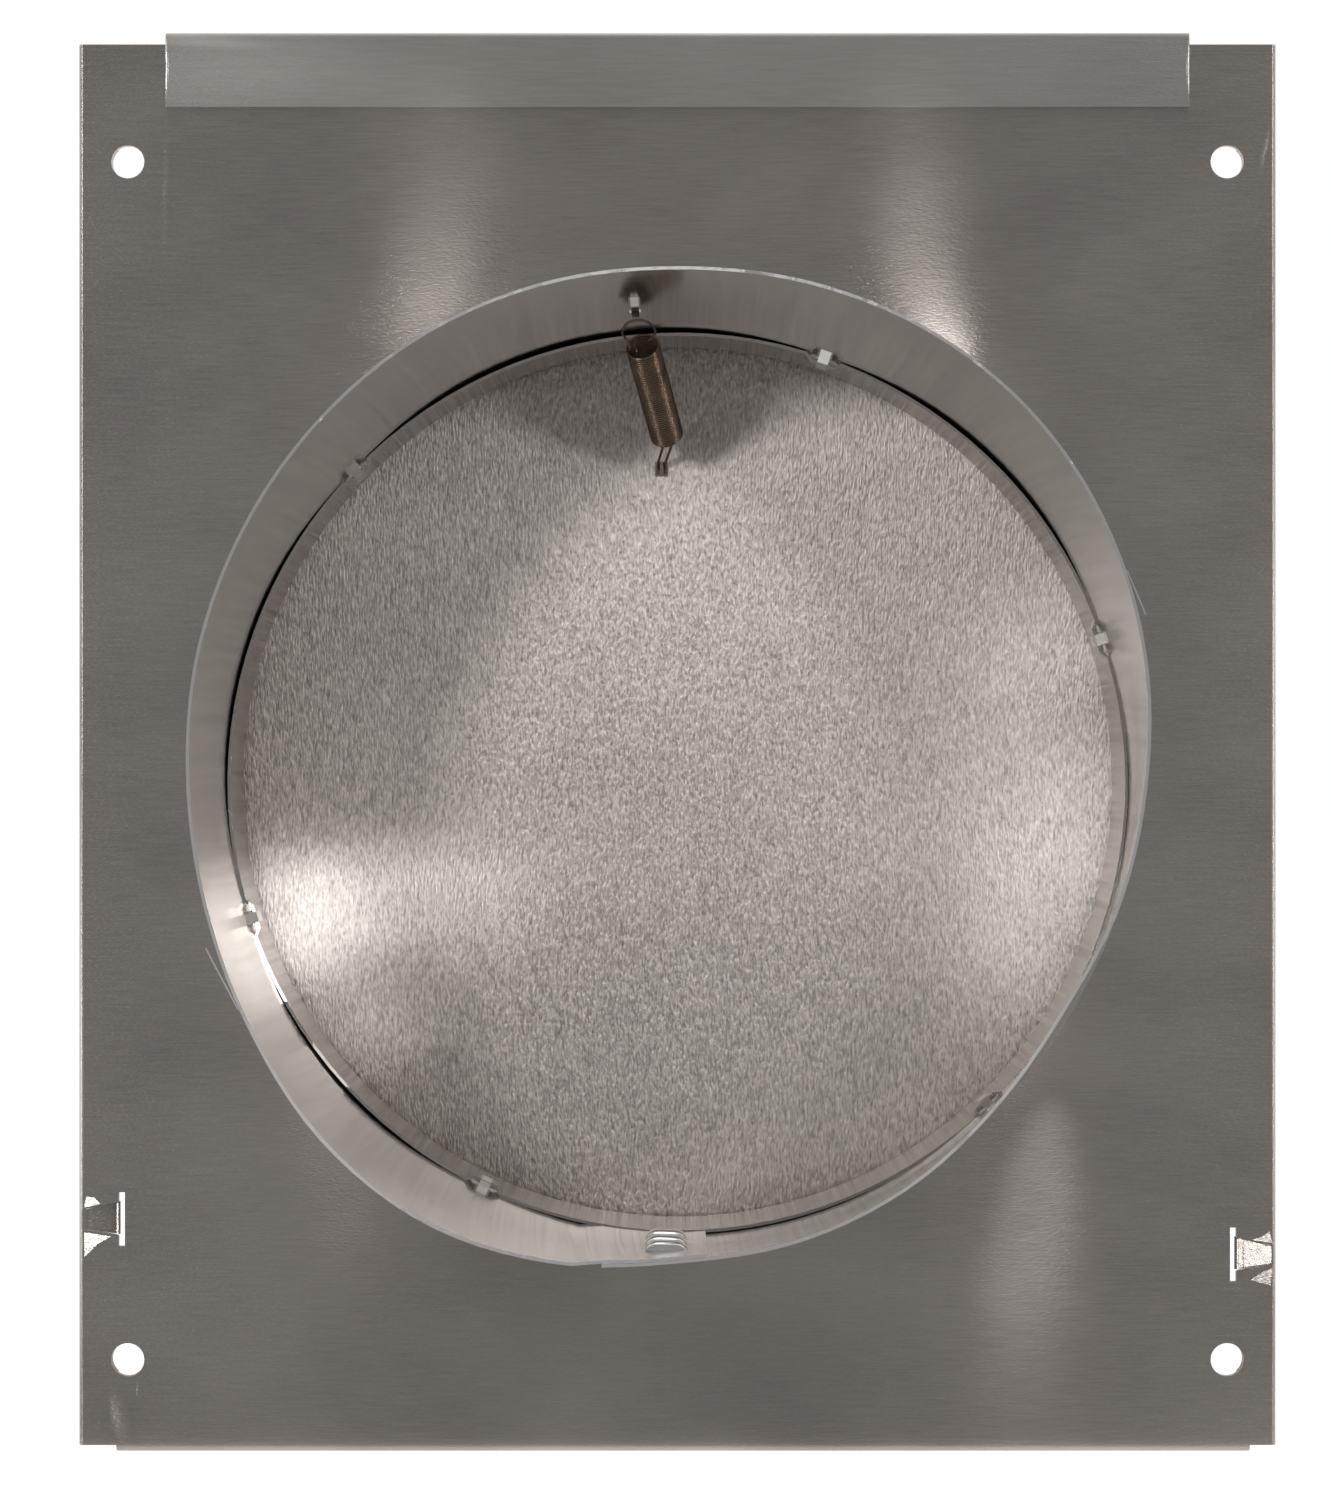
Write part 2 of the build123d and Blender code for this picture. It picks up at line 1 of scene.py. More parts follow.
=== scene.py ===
import bpy
import bmesh
from math import atan2, cos, degrees, exp, hypot, pi, radians, sin
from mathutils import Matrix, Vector


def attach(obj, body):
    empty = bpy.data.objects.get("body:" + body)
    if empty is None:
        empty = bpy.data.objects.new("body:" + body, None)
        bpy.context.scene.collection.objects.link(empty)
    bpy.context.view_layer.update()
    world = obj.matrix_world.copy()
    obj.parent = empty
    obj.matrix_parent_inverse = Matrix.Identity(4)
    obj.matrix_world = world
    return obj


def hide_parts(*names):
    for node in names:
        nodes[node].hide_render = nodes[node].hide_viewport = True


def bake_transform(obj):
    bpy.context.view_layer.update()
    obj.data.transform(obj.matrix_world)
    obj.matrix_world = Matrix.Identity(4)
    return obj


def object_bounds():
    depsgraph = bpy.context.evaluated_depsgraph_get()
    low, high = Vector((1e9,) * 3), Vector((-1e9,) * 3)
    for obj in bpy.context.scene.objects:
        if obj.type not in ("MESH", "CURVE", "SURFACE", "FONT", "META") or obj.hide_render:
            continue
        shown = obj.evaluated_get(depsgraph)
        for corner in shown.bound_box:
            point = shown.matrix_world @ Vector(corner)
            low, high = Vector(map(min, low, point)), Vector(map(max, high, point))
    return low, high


# Wall vent cap seen from the wall. Metres: the plate's wall face is y = 0, the duct's axis is
# the Y axis, and the camera looks along +Y. Dictionaries are in mm where a line doesn't say.

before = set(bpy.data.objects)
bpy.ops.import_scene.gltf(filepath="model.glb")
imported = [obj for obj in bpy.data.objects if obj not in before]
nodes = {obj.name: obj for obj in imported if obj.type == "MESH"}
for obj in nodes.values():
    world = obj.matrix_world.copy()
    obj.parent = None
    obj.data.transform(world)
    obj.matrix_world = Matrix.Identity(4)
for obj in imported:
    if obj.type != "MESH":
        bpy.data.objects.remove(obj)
for leftover in ("Cube", "Light", "Camera"):  # what a new Blender file holds
    if leftover in bpy.data.objects:
        bpy.data.objects.remove(bpy.data.objects[leftover])
bpy.context.view_layer.update()
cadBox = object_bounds()
mm = 0.001
noiseLow, noiseHigh = 0.3, 0.7          # most of a noise's values lie between these


def linearColour(hexCode):
    # an sRGB hex code as the linear colour that Blender's sockets take
    channels = [int(hexCode[i:i + 2], 16) / 255 for i in (1, 3, 5)]
    return [c / 12.92 if c <= 0.04045 else ((c + 0.055) / 1.055) ** 2.4 for c in channels] + [1.0]


def addNode(tree, kind, inputs=None, **settings):
    # inputs: socket name or number -> a value, or an output socket to link from
    node = tree.nodes.new("ShaderNode" + kind)
    for name, value in settings.items():
        setattr(node, name, value)
    for socket, value in (inputs or {}).items():
        if isinstance(value, bpy.types.NodeSocket):
            tree.links.new(value, node.inputs[socket])
        else:
            node.inputs[socket].default_value = value
    return node


def bareMaterial(name):
    material = bpy.data.materials.new(name)
    material.use_nodes = True
    material.node_tree.nodes.clear()
    return material, material.node_tree


def addPiece(name, shape, material, smooth=False):
    # a finished bmesh becomes an object in the scene
    mesh = bpy.data.meshes.new(name)
    shape.to_mesh(mesh)
    shape.free()
    mesh.materials.append(material)
    if smooth:
        mesh.polygons.foreach_set("use_smooth", [True] * len(mesh.polygons))
    piece = bpy.data.objects.new(name, mesh)
    bpy.context.scene.collection.objects.link(piece)
    return piece


view = {
    "place": (-2.03, -471.0, 5.42),     # straight at the wall face
    "lens": 75.1, "sensor": 36,
    "nearest": 10,                      # nothing closer to the camera is drawn
}
studio = {
    "floorDrop": 0.4,                   # under the lowest fold
    "floorSide": 8,                     # m
    "floorColour": "#E9E8E6",
    "floorGlow": 0.85,                  # only what the camera and the metal see
    "fillLight": 0.25,                  # grey world, for diffuse light alone
    "sweepShade": 0.275,                # the grey paper sweep that the wall side mirrors
    "sweepLow": 1.35,                   # how much paler it is at the floor
    "sweepTop": 0.2,                    # m, where that ends
    "sweepSide": [                      # y and height in m
        (-0.001, 0.0), (-1.3, 0.0), (-1.6, 0.12), (-1.7, 0.4), (-1.7, 4.0),
    ],
    "sweepHalf": 3.6, "sweepLift": 1,   # half its width in m, and mm over the floor
    "lamps": [                          # name, place and size in m, watts
        ("leftSoftbox", (-0.81, -0.95, 0.36), (0.22, 0.2), 4.4),
        ("rightSoftbox", (0.82, -0.95, 0.38), (0.2, 0.18), 3.9),
    ],
    # Light that the collar's bright walls throw on the flap and the plate. The softboxes alone
    # don't give it here, so a small lamp stands in for each patch: name, where it lands (x, z),
    # the way it travels, how far from there it starts, size, milliwatts, spread in degrees.
    "glints": [
        ("leftWallNear", (-65, -24), (0.0, 1.0, 0.0), 15, (12, 24), 1.25, 110),
        ("leftWallLow", (-54, -43), (0.0, 1.0, 0.0), 15, (12, 14), 0.2, 110),
        ("leftWallFar", (-42, -20), (0.66, 0.75, 0.0), 28, (26, 20), 0.34, 55),
        ("rightWallLow", (60, -31), (0.0, 1.0, 0.0), 17, (10, 18), 0.16, 130),
        ("rightWallNear", (66, -8), (0.0, 1.0, 0.0), 17, (10, 32), 0.62, 130),
        ("rightWallHigh", (61, 23), (0.0, 1.0, 0.0), 17, (11, 22), 0.3, 130),
        ("rightWallFar", (49, -8), (-0.3, 0.95, 0.0), 26, (26, 60), 0.9, 100),
        ("clinches", (-2, -158), (0.0, 0.3, -0.95), 118, (12, 16), 0.08, 60),
        ("outsideRight", (42.5, 92), (0.0, 0.65, 0.76), 30, (11, 28), 0.26, 44),
        ("outsideRightNear", (46, 74), (0.0, 0.85, 0.5), 10, (10, 12), 0.5, 110),
        ("outsideLeft", (-43, 95), (0.0, 0.65, 0.76), 30, (16, 30), 0.26, 54),
        ("outsideLow", (65, -84), (0.1, 0.65, -0.76), 30, (14, 36), 0.52, 54),
    ],
}

cameraData = bpy.data.cameras.new("photoCamera")
cameraData.sensor_fit = "HORIZONTAL"
cameraData.sensor_width = view["sensor"]
cameraData.lens = view["lens"]
cameraData.clip_start = view["nearest"] * mm
camera = bpy.data.objects.new("photoCamera", cameraData)
bpy.context.scene.collection.objects.link(camera)
camera.location = Vector(view["place"]) * mm
camera.rotation_euler = (radians(90), 0, 0)
bpy.context.scene.camera = camera


def seenOrMirrored(tree):
    # 1 for what is seen, straight or by way of metal, and 0 for the light on the object
    path = addNode(tree, "LightPath")
    mirrored = addNode(tree, "Math", {0: path.outputs["Is Camera Ray"],
                                      1: path.outputs["Is Glossy Ray"]}, operation="ADD")
    seen = addNode(tree, "Math", {0: mirrored.outputs[0], 1: path.outputs["Is Transmission Ray"]},
                   operation="ADD", use_clamp=True)
    return seen.outputs[0]


world = bpy.data.worlds.new("studioWorld")
bpy.context.scene.world = world
world.use_nodes = True
tree = world.node_tree
tree.nodes.clear()
seen = seenOrMirrored(tree)
fill = addNode(tree, "Background", {"Color": (1, 1, 1, 1), "Strength": studio["fillLight"]})
white = addNode(tree, "Background", {"Color": (1, 1, 1, 1), "Strength": 1.0})
either = addNode(tree, "MixShader", {0: seen, 1: fill.outputs[0], 2: white.outputs[0]})
addNode(tree, "OutputWorld", {"Surface": either.outputs[0]})


def paleFloor():
    material, tree = bareMaterial("paleFloor")
    strength = addNode(tree, "Math", {0: seenOrMirrored(tree), 1: studio["floorGlow"]},
                       operation="MULTIPLY")
    matt = addNode(tree, "BsdfDiffuse", {"Color": linearColour(studio["floorColour"])})
    glow = addNode(tree, "Emission", {"Color": (1, 1, 1, 1), "Strength": strength.outputs[0]})
    both = addNode(tree, "AddShader", {0: matt.outputs[0], 1: glow.outputs[0]})
    addNode(tree, "OutputMaterial", {"Surface": both.outputs[0]})
    shape = bmesh.new()
    half, level = studio["floorSide"] / 2, cadBox[0].z - studio["floorDrop"] * mm
    shape.faces.new([shape.verts.new((x * half, y * half, level))
                     for x, y in ((-1, -1), (1, -1), (1, 1), (-1, 1))])
    addPiece("floor", shape, material)


def greySweep():
    # grey paper in front of the cap and up behind the camera; only the metal sees it
    material, tree = bareMaterial("greySweep")
    place = addNode(tree, "TexCoord").outputs["Object"]
    height = addNode(tree, "SeparateXYZ", {0: place}).outputs[2]
    shade = addNode(tree, "MapRange", {"Value": height, "From Min": cadBox[0].z,
                                       "From Max": studio["sweepTop"],
                                       "To Min": studio["sweepShade"] * studio["sweepLow"],
                                       "To Max": studio["sweepShade"]})
    glow = addNode(tree, "Emission", {"Color": (1, 1, 1, 1), "Strength": shade.outputs[0]})
    addNode(tree, "OutputMaterial", {"Surface": glow.outputs[0]})
    shape = bmesh.new()
    low = cadBox[0].z + (studio["sweepLift"] - studio["floorDrop"]) * mm
    rows = [[shape.verts.new((x * studio["sweepHalf"], y, low + z)) for x in (-1, 1)]
            for y, z in studio["sweepSide"]]
    for a, b in zip(rows, rows[1:]):
        shape.faces.new((a[0], a[1], b[1], b[0]))
    sweep = addPiece("greySweep", shape, material)
    sweep.visible_camera = False
    sweep.visible_shadow = False
    sweep.visible_diffuse = False


paleFloor()
greySweep()


def softLamp(name, place, way, size, watts, spread=180, shape="RECTANGLE"):
    lampData = bpy.data.lights.new(name, "AREA")
    lampData.shape = shape
    lampData.size, lampData.size_y = size
    lampData.energy = watts
    lampData.spread = radians(spread)
    lamp = bpy.data.objects.new(name, lampData)
    bpy.context.scene.collection.objects.link(lamp)
    lamp.location = place
    lamp.rotation_euler = Vector(way).to_track_quat("-Z", "Y").to_euler()
    lamp.visible_camera = False


for name, place, size, watts in studio["lamps"]:
    softLamp(name, place, -Vector(place), size, watts)
for name, lands, way, far, size, milliwatts, spread in studio["glints"]:
    start = Vector((lands[0], 0, lands[1])) - Vector(way).normalized() * far
    softLamp(name, start * mm, way, [side * mm for side in size], milliwatts / 1000, spread,
             "ELLIPSE")
print("studio: floor, grey sweep, two softboxes and the glints off the collar")


def sheetMetal(look):
    # one build for all the aluminium; each sheet has its own dictionary below
    material, tree = bareMaterial(look["name"])
    place = addNode(tree, "TexCoord").outputs["Object"]
    across, depth, up = addNode(tree, "SeparateXYZ", {0: place}).outputs
    if look["rolled"]:                  # unrolls the collar into arc length and depth
        turn = addNode(tree, "Math", {0: across, 1: up}, operation="ARCTAN2")
        arc = addNode(tree, "Math", {0: turn.outputs[0], 1: look["rolled"] * mm},
                      operation="MULTIPLY")
        place = addNode(tree, "CombineXYZ", {0: arc.outputs[0], 2: depth}).outputs[0]

    shade = height = 0.0
    noises = []
    for size, detail, start, weight, rise in look["layers"]:
        stretched = addNode(tree, "VectorMath", {0: place, 1: [1000 / side for side in size],
                                                 2: [start] * 3}, operation="MULTIPLY_ADD")
        noise = addNode(tree, "TexNoise", {"Vector": stretched.outputs[0], "Scale": 1.0,
                                           "Detail": detail})
        spread = addNode(tree, "MapRange", {"Value": noise.outputs["Fac"],
                                            "From Min": noiseLow, "From Max": noiseHigh})
        shade = addNode(tree, "Math", {0: spread.outputs[0], 1: weight, 2: shade},
                        operation="MULTIPLY_ADD").outputs[0]
        height = addNode(tree, "Math", {0: noise.outputs["Fac"], 1: rise * mm, 2: height},
                         operation="MULTIPLY_ADD").outputs[0]
        noises.append(spread.outputs[0])
    if look["lean"]:                    # the sheet's fine scales all tip one way
        height = addNode(tree, "Math", {0: across, 1: look["lean"], 2: height},
                         operation="MULTIPLY_ADD").outputs[0]
    for x, z, wide, tall, turn, rise, light in look["marks"]:  # dishes, creases and scratches, and painted highlights along folds
        inside = addNode(tree, "Mapping", {"Vector": place, "Location": (x * mm, 0, z * mm),
                                           "Rotation": (0, radians(turn), 0),
                                           "Scale": (wide * mm, look["markDepth"] * mm, tall * mm)},
                         vector_type="TEXTURE")
        far = addNode(tree, "VectorMath", {0: inside.outputs[0]}, operation="LENGTH")
        near = addNode(tree, "MapRange", {"Value": far.outputs["Value"], "To Min": 1, "To Max": 0},
                       interpolation_type="SMOOTHSTEP")
        height = addNode(tree, "Math", {0: near.outputs[0], 1: rise * mm, 2: height},
                         operation="MULTIPLY_ADD").outputs[0]
        # a mark's shade lightens the colour: scratches, paler patches, and painted highlights along
        # folds
        if light:
            shade = addNode(tree, "Math", {0: near.outputs[0], 1: light, 2: shade},
                            operation="MULTIPLY_ADD").outputs[0]
    colour = addNode(tree, "Mix", {0: shade, 6: linearColour(look["dark"]),
                                   7: linearColour(look["light"])},
                     data_type="RGBA", clamp_factor=False)
    dots = addNode(tree, "TexNoise", {"Vector": place, "Scale": 1000 / look["speckSize"],
                                      "Detail": 1.0})
    specks = addNode(tree, "MapRange", {"Value": dots.outputs["Fac"], "From Min": look["speckFrom"],
                                        "From Max": look["speckFrom"] + look["speckStep"]})
    colour = addNode(tree, "Mix", {0: specks.outputs[0], 6: colour.outputs[2],
                                   7: linearColour(look["speckColour"])}, data_type="RGBA")
    roughness = addNode(tree, "MapRange", {"Value": noises[0],
                                           "To Min": look["roughness"] - look["spread"],
                                           "To Max": look["roughness"] + look["spread"]}).outputs[0]
    if look["burnish"]:                 # the drawing die polished the lip inside this radius
        flat = addNode(tree, "CombineXYZ", {0: across, 2: up})
        radius = addNode(tree, "VectorMath", {0: flat.outputs[0]}, operation="LENGTH")
        within = addNode(tree, "MapRange", {"Value": radius.outputs["Value"],
                                            "From Min": look["burnish"] * mm,
                                            "From Max": (look["burnish"] + look["polishFade"]) * mm,
                                            "To Min": 1, "To Max": 0})
        deep = addNode(tree, "MapRange", {"Value": depth,
                                          "From Min": -look["polishDepth"] * mm,
                                          "From Max": -look["polishDepth"] / 2 * mm,
                                          "To Min": 1, "To Max": 0})
        drawn = addNode(tree, "Math", {0: within.outputs[0], 1: deep.outputs[0]},
                        operation="MULTIPLY")
        roughness = addNode(tree, "Mix", {0: drawn.outputs[0], 2: roughness,
                                          3: look["polish"]}).outputs[0]

    colour = colour.outputs[2]
    if look["cutDepth"]:                # the sheared edge is torn, and scatters more light
        torn, whole = look["cutFade"]
        sheared = addNode(tree, "MapRange", {"Value": depth,
                                             "From Min": (torn - look["cutDepth"]) * mm,
                                             "From Max": (whole - look["cutDepth"]) * mm,
                                             "To Min": 1, "To Max": 0})
        roughness = addNode(tree, "Mix", {0: sheared.outputs[0], 2: roughness,
                                          3: look["cutRoughness"]}).outputs[0]
        colour = addNode(tree, "Mix", {0: sheared.outputs[0], 6: colour,
                                       7: linearColour(look["cutColour"])},
                         data_type="RGBA").outputs[2]

    bump = addNode(tree, "Bump", {"Strength": 1.0, "Distance": 1.0, "Height": height})
    if look["edge"]:                    # the CAD sheets' corners catch light as if slightly round
        bevel = addNode(tree, "Bevel", {"Radius": look["edge"] * mm}, samples=4)
        tree.links.new(bevel.outputs[0], bump.inputs["Normal"])
    tangent = addNode(tree, "CombineXYZ", {i: v for i, v in enumerate(look["blurAlong"])})
    metal = addNode(tree, "BsdfPrincipled", {"Base Color": colour, "Metallic": 1.0,
                                             "Roughness": roughness,
                                             "Anisotropic": look["anisotropy"],
                                             "Normal": bump.outputs[0],
                                             "Tangent": tangent.outputs[0]})
    addNode(tree, "OutputMaterial", {"Surface": metal.outputs[0]})
    return material


# Aluminium sheet with its mill finish: rolled, so the grain runs across the plate in fine
# bright and dull streaks, and light spreads up and down from it.
plateLook = {
    "name": "millAluminiumPlate",
    "dark": "#9E9792", "light": "#C4BDB7", "speckColour": "#E4E2DE",
    "layers": [                         # mm along X, Y, Z; detail, start, shade, height in mm
        ((7, 0.32, 0.32), 3, 0.0, 0.35, 0.003),  # real grain is near 0.05 wide, too fine to show
        ((0.8, 0.25, 0.25), 1, 7.3, 0.1, 0.06),
        ((40, 25, 25), 2, 3.1, 0.4, 0.0),
    ],
    "marks": [                          # x, z, half width and height in mm, turn, rise in mm, shade
        (-86.6, 100.4, 0.9, 15.0, 1.0, 0.03, 0.1),
        (99.4, 107.2, 0.7, 5.2, 12.0, 0.05, 0.4),
        (-94.2, -107.6, 2.2, 6.0, -12.0, 0.16, 0.3),
        (-91.6, -103.1, 0.25, 1.6, 4.0, 0.02, 0.8),
        (-101.1, -50.0, 0.5, 60.0, 0.0, 0.12, 2.6),  # the side hems' rounded folds, two lines: real bumps, and painted highlights along them
        (101.1, -10.0, 0.5, 110.0, 0.0, 0.12, 2.2),
    ],
    "markDepth": 2.5,                   # mm, so that they stay on the wall face
    "lean": 0.0,                        # slope of the fine scales across the sheet
    "speckSize": 0.6, "speckFrom": 0.84, "speckStep": 0.04,
    "roughness": 0.42, "spread": 0.04, "anisotropy": 0.9,
    "blurAlong": (0, 0, 1),             # the way that light spreads
    "edge": 0.15,                       # corners look rounded this much
    "burnish": 76.5, "polish": 0.05,    # radius of the drawn lip, and its roughness
    "polishFade": 1, "polishDepth": 1.2,
    "rolled": 0,                        # radius that a round sheet's grain is unrolled at
    "cutDepth": 0,                      # depth of a sheared edge
}
# The hood's sheet is the same stock, duller and paler.
hoodLook = dict(plateLook, name="millAluminiumHood", dark="#B8B3AE", light="#D8D3CE",
                marks=[                 # paler at its left end, and painted highlights along its rolled edges
                    (-74.0, 121.0, 38.0, 14.0, 0.0, 0.0, 1.1),
                    (-80.0, 125.4, 17.0, 1.5, 3.0, 0.12, 1.3),
                    # the rolled top edge and the hem's two ends: bumps with painted highlights
                    (0.0, 126.6, 88.0, 0.6, 0.0, 0.2, 1.2),
                    (-86.5, 121.0, 0.4, 6.0, 0.0, 0.12, 2.2),
                    (86.5, 121.0, 0.4, 6.0, 0.0, 0.12, 1.6),
                ],
                roughness=0.46, speckFrom=0.78, burnish=0)
# The collar's strip was rolled along its length, so its grain runs round the duct.
collarLook = dict(plateLook, name="rolledAluminiumCollar", dark="#E2E0DD", light="#F2F1EE",
                  layers=[((12, 0.5, 0.5), 3, 0.0, 0.4, 0.001),
                          ((2.5, 0.5, 0.5), 1, 7.3, 0.2, 0.0005),
                          ((40, 25, 25), 2, 3.1, 0.25, 0.0)],
                  marks=[], roughness=0.15, spread=0.02, anisotropy=0.7, blurAlong=(0, 1, 0),
                  rolled=75, edge=0.0, burnish=0, cutDepth=44.5, cutFade=(0.12, 0.3),
                  cutRoughness=0.34, cutColour="#DEDCDA")
# Brushed aluminium: short upright strokes that sparkle like frost. Real strokes are near 0.1
# wide, and are drawn coarser to show. The strokes' edges all tip the light to the left.
flapLook = dict(plateLook, name="brushedAluminiumFlap", dark="#908884", light="#F0E8E2",
                layers=[((0.3, 0.3, 1.5), 3, 0.0, 0.6, 0.13), ((0.4, 0.4, 0.9), 1, 7.3, 0.32, 0.11),
                        ((40, 25, 25), 2, 3.1, 0.1, 0.0)],
                marks=[], lean=0.13, roughness=0.53, anisotropy=0.65, blurAlong=(1, 0, 0),
                burnish=0, speckFrom=0.95)
# Where the hem locks are punched the sheet is creased and rubbed bright.
creaseLook = dict(plateLook, name="creasedAluminiumLock", marks=[], roughness=0.36, anisotropy=0.3,
                  edge=0.0, burnish=0)

nodes["back_plate"].material_slots[0].material = sheetMetal(plateLook)
hoodMetal = sheetMetal(hoodLook)
for name in ("hood_front", "hood_cheek_left", "hood_cheek_right"):
    nodes[name].material_slots[0].material = hoodMetal
nodes["damper_flap"].material_slots[0].material = sheetMetal(flapLook)
collarMetal = sheetMetal(collarLook)
creaseMetal = sheetMetal(creaseLook)
print("sheet metal: plate, hood, collar and flap")


def drawnWire(look):
    # wire drawn through a die: a cloudy colour, and fine pits in its skin
    material, tree = bareMaterial(look["name"])
    place = addNode(tree, "TexCoord").outputs["Object"]
    patches = addNode(tree, "TexNoise", {"Vector": place, "Scale": 1000 / look["patch"],
                                         "Detail": 3.0})
    low, high = look["patchEnds"]
    shade = addNode(tree, "MapRange", {"Value": patches.outputs["Fac"], "From Min": low,
                                       "From Max": high})
    colour = addNode(tree, "Mix", {0: shade.outputs[0], 6: linearColour(look["dark"]),
                                   7: linearColour(look["light"])}, data_type="RGBA")
    fine = addNode(tree, "TexNoise", {"Vector": place, "Scale": 1000 / look["pit"], "Detail": 2.0})
    bump = addNode(tree, "Bump", {"Strength": 1.0, "Distance": look["pitDepth"] * mm,
                                  "Height": fine.outputs["Fac"]})
    smoother, rougher = look["spread"]
    rough = addNode(tree, "MapRange", {"Value": patches.outputs["Fac"],
                                       "From Min": noiseLow, "From Max": noiseHigh,
                                       "To Min": look["roughness"] - smoother,
                                       "To Max": look["roughness"] + rougher})
    metal = addNode(tree, "BsdfPrincipled", {"Base Color": colour.outputs[2], "Metallic": 1.0,
                                             "Roughness": rough.outputs[0],
                                             "Normal": bump.outputs[0]})
    addNode(tree, "OutputMaterial", {"Surface": metal.outputs[0]})
    return material


# Spring steel wire, coiled cold and left with its brown drawing film.
springLook = {
    "name": "brownSpringSteel", "dark": "#6C5B4D", "light": "#84705E",
    "patch": 4, "patchEnds": (0.35, 0.65),
    "pit": 0.12, "pitDepth": 0.01,
    "roughness": 0.22, "spread": (0.05, 0.06),  # and how far it goes under and over that
}
# Steel wire with a bright zinc plate.
rodLook = dict(springLook, name="zincPlatedRod", dark="#9A9B9C", light="#BFC0BF", patch=3,
               pit=0.2, roughness=0.3)
# Galvanised mesh: zinc run over the welds, dull and cloudy.
meshLook = dict(springLook, name="galvanisedMeshWire", dark="#85878A", light="#AEB0B1",
                pit=0.3, pitDepth=0.03, roughness=0.45)
springMetal = drawnWire(springLook)
meshMetal = drawnWire(meshLook)
nodes["hinge_rod"].material_slots[0].material = drawnWire(rodLook)
print("wire: spring, rod and mesh")


collarShape = {
    "length": 44.5, "radius": 75.25,
    # how far the thin free edge is bent out (+) or in (-), evenly round from +X towards +Z
    "edge": (-3.2, -0.7, 1.7, 3.7, 4.7, 4.8, 4.5, 4.8, 4.6, 3.7, 2.6, 1.6,
             0.4, 0.1, 0.8, 2.3, 2.6, 0.8, -1.8, -2.6, -3.9, -5.7, -6.5, -4.9),
    "stiffDepth": 11.0,                 # the lip holds it round this deep
    "bendCurve": 1.25,                  # and from there it bends more and more
    "locks": (18.8, 71.0, 136.0, 197.6, 244.3, 314.0),  # degrees, where the lip pinches it
    "lockDepth": 12.0, "lockPinch": 0.5, "lockWidth": 13.0, "lockReach": 7.0,
    "draw": 0.45,                       # the collar drawn in on the lip all round
    "barbs": [                          # slivers torn from the edge: hinge and tip in degrees, lift
        (25.6, 20.1, 0.9),
        (207.0, 199.0, 1.3),
    ],
    "barbHeight": 1.6, "barbTaper": 0.8, "barbThick": 0.2,
    "barbGap": 0.02, "barbCurl": 1.4, "barbSteps": 8,
    # its root opens over the lip at the lower right
    "rootFlare": 2.2, "flareAngle": 325.0, "flareWidth": 14.0, "flareDepth": 3.4,
    "cut": 1.5, "turn": 2.5,            # mm and degrees between the added edges
    "firstTurn": 0.6,
    "cutEdge": 0.1,                     # the slitting knife's rounded edge
    "smoothUnder": 38, "roundOver": 60,  # degrees between two faces
}


def edgeShift(angle):
    # a smooth line through the table's values
    table = collarShape["edge"]
    step = (angle % 360) / (360 / len(table))
    i, t = int(step), step % 1
    a, b, c, d = (table[(i + k) % len(table)] for k in (-1, 0, 1, 2))
    return b + 0.5 * t * (c - a + t * (2 * a - 5 * b + 4 * c - d + t * (3 * (b - c) + d - a)))


def collarMove(angle, depth):
    # how far out the collar stands from the CAD's: its bent edge, lip locks and flared root
    s = collarShape
    run = max(0.0, (depth - s["stiffDepth"]) / (s["length"] - s["stiffDepth"]))
    lean = edgeShift(angle) * run ** s["bendCurve"]
    nearest = min(abs((angle - a + 180) % 360 - 180) for a in s["locks"])
    held = exp(-(nearest / s["lockWidth"]) ** 2)
    level = exp(-((depth - s["lockDepth"]) / s["lockReach"]) ** 2)
    pinch = -level * (s["draw"] + s["lockPinch"] * held)
    turn = (angle - s["flareAngle"] + 180) % 360 - 180
    near = max(0.0, 1 - depth / s["flareDepth"]) ** 2
    flare = s["rootFlare"] * exp(-(turn / s["flareWidth"]) ** 2) * near
    return lean + pinch + flare


